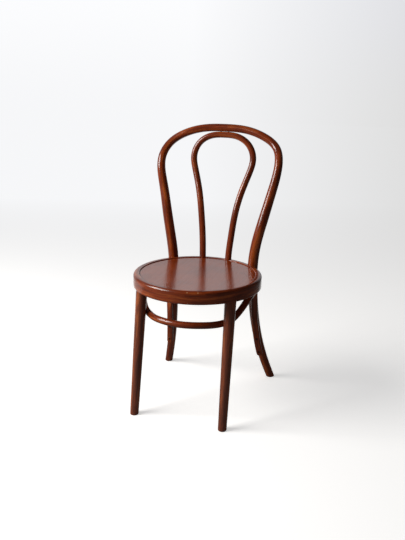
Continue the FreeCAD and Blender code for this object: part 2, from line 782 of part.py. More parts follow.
bolt_hole = cylinder(
    BOLT_DIAMETER / 2 + SHAFT_CLEARANCE, bolt_length + 1, bolt_start, bolt_inward)
head_spot = cylinder(
    BOLT_HEAD_DIAMETER / 2 + FIT_CLEARANCE, BOLT_HEAD_SPOT_DEPTH + 2, bolt_start, bolt_outward)
nut_spot = cylinder(WASHER_DIAMETER / 2 + FIT_CLEARANCE, RIM_WIDTH, nut_start, bolt_inward)
bow = bow.cut([bolt_hole, head_spot, mirror_x(bolt_hole), mirror_x(head_spot)])
rim = rim.cut([bolt_hole, nut_spot, mirror_x(bolt_hole), mirror_x(nut_spot)])
nodes["seat_bolts"] = both_sides(aimed(carriage_bolt(), bolt_start, bolt_inward))
nodes["seat_bolt_washers"] = both_sides(aimed(washer(), nut_start, bolt_inward))
nodes["seat_bolt_nuts"] = both_sides(
    aimed(hexagon_nut(), nut_start + bolt_inward * WASHER_THICKNESS, bolt_inward))

# Screws that hold the brace's tongues to the rear legs
rear_screws = []
rear_screw_holes = []
for height in BRACE_SCREW_HEIGHTS:
    leg_run = rear_leg_run(height)
    facing = strip_facing(height)
    inward = unit((facing - leg_run * facing.dot(leg_run)) * -1)
    start = strip_centre(height) - inward * (BRACE_STRIP_THICKNESS / 2 - SCREW_SINK)
    rear_screws.append(aimed(screw(BRACE_SCREW_LENGTH), start, inward))
    rear_screw_holes.append(aimed(screw_hole(BRACE_SCREW_LENGTH, HOLE_MOUTH), start, inward))
rear_screw_holes += [mirror_x(hole) for hole in rear_screw_holes]
nodes["brace_rear_screws"] = Part.makeCompound(
    rear_screws + [mirror_x(piece) for piece in rear_screws])

# Screws from the brace up into the rim, and from the brace into each front leg
seat_screw_start = brace_apex() - UP * (BRACE_APEX_THICKNESS / 2 - SCREW_SINK)
seat_screw = aimed(screw(BRACE_SCREW_LENGTH), seat_screw_start, UP)
seat_screw_hole = aimed(screw_hole(BRACE_SCREW_LENGTH, HOLE_MOUTH), seat_screw_start, UP)
nodes["brace_seat_screws"] = both_sides(seat_screw)
contact_point, leg_inward = brace_contact()
front_screw_start = contact_point + leg_inward * (BRACE_BAR_DIAMETER / 2 - CURVED_SINK)
leg_outward = leg_inward * -1
front_screw = aimed(screw(BRACE_SCREW_LENGTH), front_screw_start, leg_outward)
front_screw_hole = aimed(
    screw_hole(BRACE_SCREW_LENGTH, CURVED_HOLE_MOUTH), front_screw_start, leg_outward)
nodes["brace_front_screws"] = both_sides(front_screw)

# Screws up through the rim into the inner bow's tenons
foot_screw_start = Vec(inner_foot.x, inner_foot.y, rim_bottom + SCREW_SINK)
foot_screw = aimed(screw(FOOT_SCREW_LENGTH), foot_screw_start, UP)
foot_screw_hole = aimed(screw_hole(FOOT_SCREW_LENGTH, HOLE_MOUTH), foot_screw_start, UP)
nodes["inner_bow_screws"] = both_sides(foot_screw)

# Screws up through the inner bow's crown into the back bow
crown_screw_start = Vec(
    CROWN_SCREW_HALF_SPACING,
    INNER_BOW_CROWN_BACK,
    inner_crown.z - INNER_BOW_CROWN_DIAMETER / 2 + CURVED_SINK)
crown_screw = aimed(screw(CROWN_SCREW_LENGTH), crown_screw_start, UP)
crown_screw_hole = aimed(
    screw_hole(CROWN_SCREW_LENGTH, CURVED_HOLE_MOUTH), crown_screw_start, UP)
nodes["bow_crown_screws"] = both_sides(crown_screw)

leg = front_leg().cut(front_screw_hole)
brace = brace.cut(rear_screw_holes + [
    seat_screw_hole, mirror_x(seat_screw_hole), front_screw_hole, mirror_x(front_screw_hole)])
rim = rim.cut([
    seat_screw_hole, mirror_x(seat_screw_hole), foot_screw_hole, mirror_x(foot_screw_hole)])
inner = inner.cut([
    foot_screw_hole, mirror_x(foot_screw_hole), crown_screw_hole, mirror_x(crown_screw_hole)])
bow = bow.cut(rear_screw_holes + [crown_screw_hole, mirror_x(crown_screw_hole)])

nodes["seat_ring"] = rim
nodes["seat_panel"] = panel
nodes["front_leg_right"] = leg
nodes["front_leg_left"] = mirror_x(leg)
nodes["back_bow"] = bow
nodes["inner_bow"] = inner
nodes["leg_brace"] = brace

# The chair's own origin: on the floor, under the middle of its outer box
surface_points = []
for shape in nodes.values():
    surface_points += shape.tessellate(BOX_TOLERANCE)[0]
depths = [point.y for point in surface_points]
shift = Vec(0, -(min(depths) + max(depths)) / 2, 0)

os.makedirs("parts", exist_ok=True)
for name, shape in nodes.items():
    moved = shape.copy()
    moved.translate(shift)
    moved.exportStep("parts/" + name + ".step")
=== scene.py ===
import math

import bmesh
import bpy
import numpy as np
from mathutils import Matrix, Vector


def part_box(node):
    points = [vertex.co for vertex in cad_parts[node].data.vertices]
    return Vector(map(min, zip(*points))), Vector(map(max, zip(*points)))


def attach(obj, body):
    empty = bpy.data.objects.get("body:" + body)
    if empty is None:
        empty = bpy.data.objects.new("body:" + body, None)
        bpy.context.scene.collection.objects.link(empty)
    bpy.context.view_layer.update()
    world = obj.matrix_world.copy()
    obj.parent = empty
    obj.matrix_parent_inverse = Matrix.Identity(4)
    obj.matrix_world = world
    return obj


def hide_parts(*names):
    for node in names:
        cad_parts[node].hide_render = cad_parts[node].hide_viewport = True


# Bentwood bistro chair: stained and lacquered beech rods, a bent seat rim and a seat panel
# let into it. Sizes are millimetres from the seat's centre on the floor, with the chair's
# front toward -y; place() turns them into Blender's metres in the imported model's frame.

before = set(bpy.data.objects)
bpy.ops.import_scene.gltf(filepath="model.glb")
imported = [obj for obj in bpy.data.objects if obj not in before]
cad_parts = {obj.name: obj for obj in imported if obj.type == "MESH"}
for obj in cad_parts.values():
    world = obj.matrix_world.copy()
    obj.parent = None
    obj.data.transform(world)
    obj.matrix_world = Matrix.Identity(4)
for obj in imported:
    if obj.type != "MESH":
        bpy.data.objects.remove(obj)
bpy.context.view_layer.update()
scene = bpy.context.scene

MM = 0.001
panel_low, panel_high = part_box("seat_panel")
SEAT_CENTRE = Vector(((panel_low.x + panel_high.x) / 2, (panel_low.y + panel_high.y) / 2, 0.0))


def place(x, y, z):
    """A point given in millimetres from the seat's centre, in the chair's frame in metres."""
    return Vector((x * MM, y * MM, z * MM)) + SEAT_CENTRE


# Sizes of the chair

SEAT = 436.3
RIM_BOTTOM = 395.3
BRACE_TOP = 395.0
BRACE_HIGH = 390.15
BRACE_LOW = 320.3
BRACE_LEAVES_LEG = 106.39
TONGUE_FOOT = 100.0
TONGUE_TOP = 351.3
FOOT_CHAMFER = 1.5
CHAMFER_WIDTH = 1.2

# How full a section is: ROUND is a true ellipse, and more is squarer
ROUND = math.sqrt(0.5)
FLAT = 2.2

# Width, thickness and fullness of the brace flat on the leg, under the rim and in front
ON_LEG = (22.0, 9.5, FLAT)
UNDER_RIM = (22.0, 11.3, FLAT)
IN_FRONT = (18.4, 18.4, ROUND)


def round_rod(route):
    """A route of places with a diameter, written with a width, thickness and fullness."""
    return [(x, y, z, diameter, diameter, ROUND) for x, y, z, diameter in route]


# Routes of the bent rods, from the right foot or end to the middle

BACK_BOW_ROUTE = round_rod([
    (199.26, 259.27, -13.5, 26.78), (172.9, 219.6, 87.26, 28.4), (156.39, 192.19, 174.52, 29.8),
    (146.38, 171.12, 261.78, 31.2), (141.46, 157.14, 349.04, 32.6), (140.3, 151.52, SEAT, 34.0),
    (148.5, 150.1, 505.3, 33.0), (165.9, 160.5, 585.3, 32.0), (186.6, 176.9, 675.3, 29.5),
    (200.1, 196.3, 764.3, 26.5), (181.3, 229.8, 813.3, 25.4), (128.5, 244.0, 847.0, 25.2),
    (75.3, 253.7, 861.7, 25.1), (0.0, 258.9, 866.2, 25.0)])
INNER_BOW_ROUTE = round_rod([
    (45.5, 184.47, 422.3, 21.8), (45.5, 184.47, SEAT, 21.8), (49.8, 192.7, 505.3, 21.8),
    (58.9, 202.3, 585.3, 21.6), (75.7, 222.0, 665.3, 21.5), (94.7, 238.5, 725.3, 21.3),
    (102.9, 246.6, 770.7, 21.2), (85.3, 251.6, 814.0, 20.9), (44.8, 255.2, 838.9, 20.6),
    (0.0, 257.3, 843.15, 20.5)])
BRACE_ROUTE = [
    (168.19, 194.59, TONGUE_FOOT) + ON_LEG, (163.58, 184.19, 131.41) + ON_LEG,
    (159.80, 174.69, 162.82) + ON_LEG, (156.82, 166.11, 194.24) + ON_LEG,
    (154.59, 158.48, 225.65) + ON_LEG, (153.07, 151.82, 257.06) + ON_LEG,
    (152.22, 146.17, 288.48) + ON_LEG, (151.97, 141.57, 319.89) + ON_LEG,
    (152.26, 138.06, 351.30) + ON_LEG, (151.48, 133.81, 370.73) + ON_LEG,
    (149.34, 122.22, 384.95) + ON_LEG, (146.43, BRACE_LEAVES_LEG, BRACE_HIGH) + UNDER_RIM,
    (164.03, 75.73, BRACE_HIGH) + UNDER_RIM, (175.55, 41.24, BRACE_HIGH) + UNDER_RIM,
    (179.89, 6.28, BRACE_HIGH) + UNDER_RIM, (176.60, -20.42, 382.89, 21.28, 12.72, 1.47),
    (168.80, -45.84, 365.56, 20.56, 14.14, 1.03), (156.85, -69.15, 344.89, 19.84, 15.56, 0.80),
    (141.25, -89.60, 327.56, 19.12, 16.98, 0.72), (122.66, -106.57, BRACE_LOW) + IN_FRONT,
    (68.58, -150.44, BRACE_LOW) + IN_FRONT, (0.0, -166.29, BRACE_LOW) + IN_FRONT]

# Holes for the heads of the fasteners, given for the right side: a start, the way it opens,
# its radius, how far it runs that way and how far it reaches back from its start

SCREW_HOLE = 4.1
BOLT_HEAD_HOLE = 8.15
NUT_HOLE = 9.15
SCREW_HOLE_BACK = 2.0
BOLT_HEIGHT = 415.8
BOLT_OUT = (0.6785, 0.7346, 0.0)
BOLT_IN = (-0.6785, -0.7346, 0.0)
DOWN = (0.0, 0.0, -1.0)
BACK_BOW_HOLES = [
    ((150.14, 162.53, BOLT_HEIGHT), BOLT_OUT, BOLT_HEAD_HOLE, 12.0, 0.0)]
INNER_BOW_HOLES = [
    ((13.0, 257.3, 834.0), DOWN, SCREW_HOLE, 8.0, SCREW_HOLE_BACK)]
BRACE_HOLES = [
    ((165.85, 185.04, 114.66), (0.0264, -0.9512, -0.3074), SCREW_HOLE, 6.0, SCREW_HOLE_BACK),
    ((159.74, 168.76, 167.90), (0.1345, -0.9583, -0.2521), SCREW_HOLE, 6.0, SCREW_HOLE_BACK),
    ((146.43, BRACE_LEAVES_LEG, 384.9), DOWN, SCREW_HOLE, 6.0, SCREW_HOLE_BACK),
    ((116.55, -101.26, BRACE_LOW), (-0.7549, 0.6559, 0.0), SCREW_HOLE, 8.0, SCREW_HOLE_BACK)]
RIM_HOLES = [
    ((115.35, 124.877, BOLT_HEIGHT), BOLT_IN, NUT_HOLE, 20.0, 0.0),
    ((45.5, 184.47, 395.7), DOWN, SCREW_HOLE, 5.0, SCREW_HOLE_BACK)]


# Curves

DENSE = 4000
ROD_SPACING = 2.4
SMOOTHED_OVER = 7


def mirrored(half):
    """A route from the right end to the middle, carried on to the left end."""
    return half + [(-item[0],) + tuple(item[1:]) for item in reversed(half[:-1])]


def lengths_along(points):
    """How far each point lies along a line of points."""
    steps = np.linalg.norm(np.diff(points, axis=0), axis=1)
    return np.concatenate([[0.0], np.cumsum(steps)])


def unit_rows(rows):
    return rows / np.linalg.norm(rows, axis=1)[:, None]


def spline(points):
    """Smooth curve through points, as a function of distance along their chords."""
    points = np.array(points, float)
    knots = lengths_along(points)
    steps = np.diff(knots)
    count = len(points)
    matrix = np.eye(count)
    right = np.zeros((count, 3))
    for i in range(1, count - 1):
        matrix[i, i - 1:i + 2] = steps[i - 1], 2 * (steps[i - 1] + steps[i]), steps[i]
        right[i] = 6 * (
            (points[i + 1] - points[i]) / steps[i] - (points[i] - points[i - 1]) / steps[i - 1])
    bends = np.linalg.solve(matrix, right)

    def at(values):
        spot = np.clip(np.searchsorted(knots, values, side="right") - 1, 0, count - 2)
        step = steps[spot][:, None]
        a = (knots[spot + 1] - values)[:, None]
        b = (values - knots[spot])[:, None]
        return (
            bends[spot] * a ** 3 / (6 * step) + bends[spot + 1] * b ** 3 / (6 * step)
            + (points[spot] / step - bends[spot] * step / 6) * a
            + (points[spot + 1] / step - bends[spot + 1] * step / 6) * b)

    return at, knots


def swept_line(route):
    """Evenly spaced places along a whole rod, and its sizes there, smoothed over their steps."""
    whole = mirrored(route)
    at, knots = spline([item[:3] for item in whole])
    chords = np.linspace(0.0, knots[-1], DENSE)
    along = lengths_along(at(chords))
    even = np.linspace(0.0, along[-1], int(along[-1] / ROD_SPACING) + 1)
    chord = np.interp(even, along, chords)
    window = np.ones(2 * SMOOTHED_OVER + 1) / (2 * SMOOTHED_OVER + 1)
    sizes = []
    for column in zip(*(item[3:] for item in whole)):
        values = np.pad(np.interp(chord, knots, column), SMOOTHED_OVER, mode="edge")
        sizes.append(np.convolve(values, window, "valid"))
    return at(chord), np.array(sizes).T


def quarter(fullness, count):
    """Points of a section's first quarter, for half sizes of 1."""
    t = np.linspace(0.0, 1.0, count, endpoint=False)
    pull = 2 * fullness * t * (1 - t)
    total = (1 - t) ** 2 + pull + t ** 2
    return np.stack([((1 - t) ** 2 + pull) / total, (pull + t ** 2) / total], axis=1)


def section_of(width, thickness, fullness, count):
    """A closed section round (0, 0), with the same number of points on each quarter."""
    first = quarter(fullness, count)
    second = np.stack([-first[:, 1], first[:, 0]], axis=1)
    return np.concatenate([first, second, -first, -second]) * (width / 2, thickness / 2)


def arc(centre, radius, first, last, count):
    """Points of an arc in a flat outline; angles in degrees, with 0 outward and 90 up."""
    turns = [math.radians(first + (last - first) * i / count) for i in range(count + 1)]
    return [(centre[0] + radius * math.cos(t), centre[1] + radius * math.sin(t)) for t in turns]


# Meshes

def new_piece(name, vertices, faces):
    mesh = bpy.data.meshes.new(name)
    mesh.from_pydata([tuple(v) for v in vertices], [], faces)
    mesh.validate()
    mesh.update()
    piece = bpy.data.objects.new(name, mesh)
    scene.collection.objects.link(piece)
    return piece


def stacked_faces(rings, total):
    """Faces of a closed form made of rings of points, with a flat face over each end."""
    faces = []
    for ring in range(rings - 1):
        low, high = ring * total, (ring + 1) * total
        for i in range(total):
            j = (i + 1) % total
            faces.append((low + i, low + j, high + j, high + i))
    faces.append(tuple(reversed(range(total))))
    faces.append(tuple(range((rings - 1) * total, rings * total)))
    return faces


def rod(name, route, width_way, quarter_points, growth=0.0, kept=None):
    """A bent rod as a fine closed mesh, and its middle line in metres.

    width_way gives the way in which the rod's width lies at a place. growth makes the rod
    larger all round. kept is a test of a place: only the sections that pass it are made.
    """
    line, sizes = swept_line(route)
    tangents = unit_rows(np.gradient(line, axis=0))
    sides = np.array([width_way(centre) for centre in line], float)
    sides -= tangents * (sides * tangents).sum(1)[:, None]
    sides = unit_rows(sides)
    others = np.cross(tangents, sides)
    chosen = [i for i in range(len(line)) if kept is None or kept(line[i])]
    vertices = []
    for i in chosen:
        width, thickness, fullness = sizes[i]
        section = section_of(width + 2 * growth, thickness + 2 * growth, fullness, quarter_points)
        places = line[i] + section[:, :1] * sides[i] + section[:, 1:] * others[i]
        vertices += [place(*p) for p in places]
    faces = stacked_faces(len(chosen), 4 * quarter_points)
    return new_piece(name, vertices, faces), np.array([place(*p) for p in line])


def turned(name, outline, segments):
    """A closed form turned about the seat's axis from its (radius, height) outline."""
    vertices, faces, rows = [], [], []
    for radius, height in outline:
        if radius == 0.0:
            rows.append([len(vertices)])
            vertices.append(place(0.0, 0.0, height))
            continue
        rows.append(range(len(vertices), len(vertices) + segments))
        for i in range(segments):
            turn = 2 * math.pi * i / segments
            vertices.append(place(radius * math.sin(turn), -radius * math.cos(turn), height))
    for one, two in zip(rows, rows[1:] + rows[:1]):
        if len(one) == 1 and len(two) == 1:
            continue
        for i in range(segments):
            j = (i + 1) % segments
            if len(one) == 1:
                faces.append((one[0], two[j], two[i]))
            elif len(two) == 1:
                faces.append((one[i], one[j], two[0]))
            else:
                faces.append((one[i], one[j], two[j], two[i]))
    return new_piece(name, vertices, faces)


# Cutters, which are removed when they have cut

HOLE_SEGMENTS = 40
TONGUE_RADIUS = 11.0
TONGUE_CUT_DEPTH = 30.0
TONGUE_STEPS = 24


def peg(start, direction, radius, ahead, back):
    """A cylinder round a line through a start point, ahead of it and back from it."""
    axis = Vector(direction).normalized()
    side = axis.orthogonal().normalized()
    other = axis.cross(side)
    vertices = []
    for reach in (-back, ahead):
        for i in range(HOLE_SEGMENTS):
            turn = 2 * math.pi * i / HOLE_SEGMENTS
            spot = Vector(start) + axis * reach + (
                side * math.cos(turn) + other * math.sin(turn)) * radius
            vertices.append(place(*spot))
    return new_piece("cutter", vertices, stacked_faces(2, HOLE_SEGMENTS))


def holes(rows):
    """Cutters for a table of holes, each on the right and, mirrored, on the left."""
    made = []
    for start, direction, radius, ahead, back in rows:
        for sign in (1, -1):
            flip = (sign, 1, 1)
            made.append(peg(
                [a * b for a, b in zip(start, flip)], [a * b for a, b in zip(direction, flip)],
                radius, ahead, back))
    return made


def tongue_turn(height):
    """Degrees by which the brace's broad face on the leg looks outward from the front."""
    return -4.0 + 34.0 * (height - TONGUE_FOOT) / (TONGUE_TOP - TONGUE_FOOT)


def tongue_ends():
    """Cutters that round off the brace's two lower ends."""
    tip = Vector(BRACE_ROUTE[0][:3])
    rise = (Vector(BRACE_ROUTE[1][:3]) - tip).normalized()
    turn = math.radians(tongue_turn(tip.z))
    side = Vector((math.cos(turn), math.sin(turn), 0.0))
    side = (side - rise * side.dot(rise)).normalized()
    through = rise.cross(side)
    wide = TONGUE_RADIUS + 1
    outline = [(-wide, -1), (wide, -1), (wide, TONGUE_RADIUS)]
    outline += arc((0.0, TONGUE_RADIUS), TONGUE_RADIUS, 0, -180, TONGUE_STEPS)
    outline += [(-wide, TONGUE_RADIUS)]
    cutters = []
    for sign in (1, -1):
        vertices = []
        for depth in (-TONGUE_CUT_DEPTH / 2, TONGUE_CUT_DEPTH / 2):
            for across, along in outline:
                spot = tip + side * across + rise * along + through * depth
                vertices.append(place(sign * spot.x, spot.y, spot.z))
        cutter = new_piece("cutter", vertices, stacked_faces(2, len(outline)))
        shape = bmesh.new()
        shape.from_mesh(cutter.data)
        bmesh.ops.recalc_face_normals(shape, faces=shape.faces[:])
        shape.to_mesh(cutter.data)
        shape.free()
        cutters.append(cutter)
    return cutters


def cut(piece, cutters):
    """Cut every cutter from the piece, then remove the cutters."""
    for cutter in cutters:
        change = piece.modifiers.new("cut", "BOOLEAN")
        change.operation = "DIFFERENCE"
        change.solver = "EXACT"
        change.object = cutter
    bpy.context.view_layer.update()
    shape = bpy.data.meshes.new_from_object(
        piece.evaluated_get(bpy.context.evaluated_depsgraph_get()))
    piece.modifiers.clear()
    piece.data = shape
    for cutter in cutters:
        bpy.data.objects.remove(cutter)


def end_at_floor(piece):
    """Cut flat at the floor, with a small chamfer round each foot."""
    shape = bmesh.new()
    shape.from_mesh(piece.data)
    height = FOOT_CHAMFER * MM
    bmesh.ops.bisect_plane(
        shape, geom=shape.verts[:] + shape.edges[:] + shape.faces[:], dist=1e-7,
        plane_co=(0, 0, height), plane_no=(0, 0, -1), clear_outer=True)
    open_edges = [edge for edge in shape.edges if edge.is_boundary]
    made = bmesh.ops.extrude_edge_only(shape, edges=open_edges)
    low = [item for item in made["geom"] if isinstance(item, bmesh.types.BMVert)]
    for sign in (-1, 1):
        foot = [vertex for vertex in low if vertex.co.x * sign > 0]
        middle = sum((vertex.co for vertex in foot), Vector()) / len(foot)
        for vertex in foot:
            inward = middle - vertex.co
            inward.z = 0
            vertex.co += inward.normalized() * height * (CHAMFER_WIDTH / FOOT_CHAMFER)
            vertex.co.z = 0.0
    rims = [edge for edge in shape.edges if edge.is_boundary]
    bmesh.ops.holes_fill(shape, edges=rims)
    bmesh.ops.recalc_face_normals(shape, faces=shape.faces[:])
    shape.to_mesh(piece.data)
    shape.free()


# The grain: each point's place in the straight timber, in metres, with the last number
# along the grain. A shift gives a piece a stretch of timber of its own.

POINTS_AT_ONCE = 4000
MEAN_RIM_RADIUS = 0.19


def rod_places(line, shift=(0.0, 0.0, 0.0)):
    """Places in a rod before bending: two across it and one along it."""
    steps = np.diff(line, axis=0)
    lengths = np.linalg.norm(steps, axis=1)
    along = lengths_along(line)
    tangents = steps / lengths[:, None]
    across = np.zeros_like(tangents)
    side = np.cross(tangents[0], (0.0, 1.0, 0.0))
    for i, tangent in enumerate(tangents):
        side = side - tangent * side.dot(tangent)
        side /= np.linalg.norm(side)
        across[i] = side

    def places(points):
        out = []
        for first in range(0, len(points), POINTS_AT_ONCE):
            part = points[first:first + POINTS_AT_ONCE]
            offset = part[:, None, :] - line[None, :-1, :]
            share = np.clip((offset * steps[None]).sum(2) / lengths ** 2, 0.0, 1.0)
            away = offset - share[..., None] * steps[None]
            nearest = (away ** 2).sum(2).argmin(1)
            rows = np.arange(len(part))
            rest = away[rows, nearest]
            side = across[nearest]
            other = np.cross(tangents[nearest], side)
            reached = along[nearest] + share[rows, nearest] * lengths[nearest]
            out.append(np.stack(
                [(rest * side).sum(1), (rest * other).sum(1), reached], axis=1))
        return np.concatenate(out) + shift

    return places


def rim_places(points):
    """The rim's wood runs round the seat: out from the middle, up, and along the ring."""
    flat = points - np.array(SEAT_CENTRE)
    turn = np.arctan2(-flat[:, 0], -flat[:, 1])
    return np.stack(
        [np.hypot(flat[:, 0], flat[:, 1]), flat[:, 2], turn * MEAN_RIM_RADIUS], axis=1)


def panel_places(points):
    """The panel's grain runs from front to back."""
    return (points - np.array(SEAT_CENTRE))[:, (0, 2, 1)]


def leg_places(foot, top, shift):
    """The front legs' grain runs along their axis."""
    axis = np.array((top - foot).normalized())
    side = np.cross(axis, (0.0, 1.0, 0.0))
    side /= np.linalg.norm(side)
    other = np.cross(axis, side)

    def places(points):
        offset = points - np.array(foot)
        return np.stack([offset @ side, offset @ other, offset @ axis], axis=1) + shift

    return places


SHARP_DEGREES = 32.0


def finished(piece, node, material, places):
    """Smooth shading, the grain, a material, and the CAD node that the piece stands for."""
    mesh = piece.data
    for face in mesh.polygons:
        face.use_smooth = True
    mesh.set_sharp_from_angle(angle=math.radians(SHARP_DEGREES))
    points = np.zeros(len(mesh.vertices) * 3)
    mesh.vertices.foreach_get("co", points)
    grain = mesh.attributes.new("grain", "FLOAT_VECTOR", "POINT")
    grain.data.foreach_set("vector", places(points.reshape(-1, 3)).astype(np.float32).ravel())
    mesh.materials.clear()
    mesh.materials.append(material)
    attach(piece, "root")
    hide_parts(node)


# Materials

class Tree:
    """A short way to write the nodes of a material or of the world."""

    def __init__(self, owner):
        owner.use_nodes = True
        self.nodes = owner.node_tree.nodes
        self.links = owner.node_tree.links

    def fill(self, node, inputs):
        """Set each input to a value, or link it where the value is another node's output."""
        for key, value in inputs.items():
            if isinstance(value, bpy.types.NodeSocket):
                self.links.new(value, node.inputs[key])
            else:
                node.inputs[key].default_value = value

    def add(self, kind, inputs=None, **settings):
        node = self.nodes.new("ShaderNode" + kind)
        for key, value in settings.items():
            setattr(node, key, value)
        self.fill(node, inputs or {})
        return node

    def math(self, operation, first, second):
        return self.add("Math", {0: first, 1: second}, operation=operation).outputs[0]

    def vector(self, operation, *values):
        node = self.add("VectorMath", dict(enumerate(values)), operation=operation)
        scalar = operation in ("DISTANCE", "LENGTH", "DOT_PRODUCT")
        return node.outputs["Value" if scalar else "Vector"]

    def noise(self, vector, scale, detail, roughness=0.5, distortion=0.0):
        node = self.add("TexNoise", {
            "Vector": vector, "Scale": scale, "Detail": detail,
            "Roughness": roughness, "Distortion": distortion})
        return node.outputs["Fac"]

    def ramp(self, value, low, high, to_low=0.0, to_high=1.0, smooth=True):
        node = self.add("MapRange", {
            "Value": value, "From Min": low, "From Max": high,
            "To Min": to_low, "To Max": to_high},
            interpolation_type="SMOOTHSTEP" if smooth else "LINEAR")
        return node.outputs["Result"]

    def mix(self, share, first, second):
        """A mix of two colours."""
        node = self.add("Mix", data_type="RGBA", blend_type="MIX")
        self.fill(node, {0: share, 6: first, 7: second})
        return node.outputs[2]

    def blend(self, share, first, second):
        """A mix of two shaders."""
        return self.add("MixShader", {0: share, 1: first, 2: second}).outputs[0]

    def bump(self, height, distance, strength):
        node = self.add("Bump", {"Height": height, "Distance": distance, "Strength": strength})
        return node.outputs["Normal"]


def colour(red, green, blue):
    return (red, green, blue, 1.0)


STAIN = colour(0.310, 0.044, 0.0056)
STAIN_DARK = colour(0.090, 0.0110, 0.0030)
STAIN_LIGHT = colour(0.56, 0.130, 0.022)
# Pale wood of chips and rubbed edges; on the brace's edges it is also a painted highlight
BARE_WOOD_AND_HIGHLIGHT = colour(0.62, 0.36, 0.17)
# Grey-brown of dust, and of a painted reflection of the pale floor on the legs
DUST_AND_SHEEN = colour(0.30, 0.19, 0.14)

# How far the marks are drawn out along the grain
LONG_MARKS = (1.0, 1.0, 0.045)
BROAD_MARKS = (1.0, 1.0, 0.10)
SHORT_MARKS = (1.0, 1.0, 0.16)
ACROSS_ONLY = (1.0, 1.0, 0.0)

# How fine the marks are, in noise per metre
BANDS_SCALE = 130.0
BROAD_SCALE = 95.0
FIBRES_SCALE = 900.0
DASHES_SCALE = 620.0
SMALL_DASHES_SCALE = 1500.0
CLOUD_SCALE = 11.0
MOTTLE_SCALE = 230.0
CHIP_EDGE_SCALE = 700.0

FIBRE_RELIEF = 0.00008
FIBRE_RELIEF_STRENGTH = 0.2
MOTTLE_RELIEF = 0.0001
WORN_AND_HIGHLIT_RAMP = 0.0006
BARE_WOOD_ROUGHER = 0.4
COAT_IOR = 1.5
WOOD_SPECULAR = 0.08


def chips_mask(tree, chips):
    """1 where the lacquer and stain are chipped off, with an uneven edge."""
    where = tree.add("TexCoord").outputs["Object"]
    wobble = tree.noise(where, CHIP_EDGE_SCALE, 2.0, 0.6)
    mask = 0.0
    for spot, size in chips:
        near = tree.vector("DISTANCE", where, tuple(spot))
        reach = tree.math("ADD", near, tree.math("MULTIPLY", wobble, size * 0.9))
        mask = tree.math("MAXIMUM", mask, tree.ramp(reach, size * 1.15, size * 0.95))
    return mask


